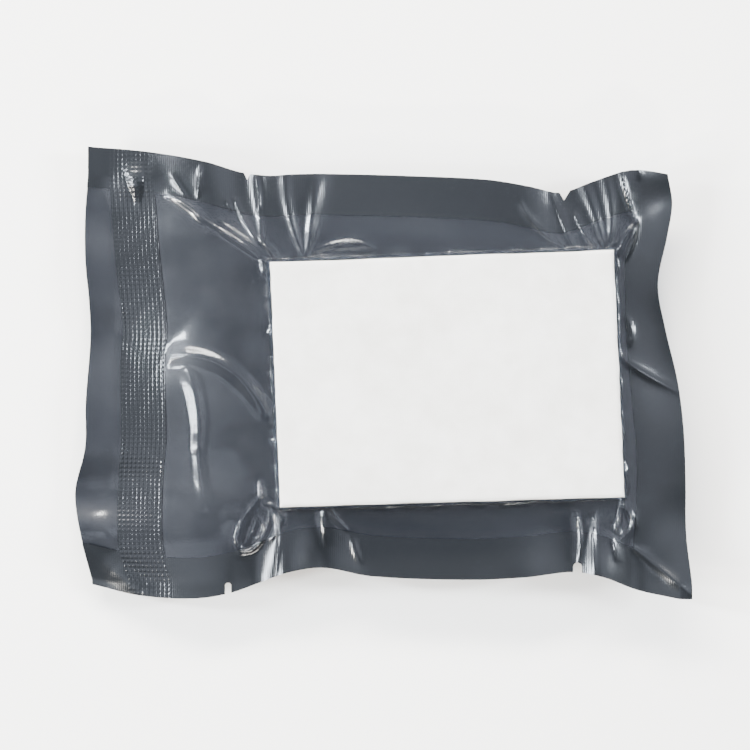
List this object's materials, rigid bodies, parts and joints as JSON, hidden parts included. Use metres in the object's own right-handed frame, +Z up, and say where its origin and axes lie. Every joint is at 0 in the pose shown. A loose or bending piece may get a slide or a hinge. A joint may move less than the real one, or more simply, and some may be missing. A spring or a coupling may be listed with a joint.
{
  "type": "compressed gauze bandage in vacuum pouch",
  "caption": "Flat block of folded white gauze, vacuum packed in a pouch of clear front film sealed to a slate-grey back film, with a knurled end seal and tear notches.",
  "frame": {"origin": "under the middle of the gauze block, on the surface that the pouch lies on", "axes": "+X along the pouch from its open-mouthed end to its far seal, +Y across it, +Z up out of the clear front"},
  "size_m": [0.1352, 0.0994, 0.0198],
  "materials": {
    "gauze": "matt bleached cotton, pressed flat",
    "clear_film": "clear glossy laminate, slightly hazy",
    "slate_film": "opaque slate-grey glossy laminate"
  },
  "bodies": {
    "root": {"gauze_pad": "gauze", "front_film": "clear_film", "back_film": "slate_film"}
  },
  "joints": []
}
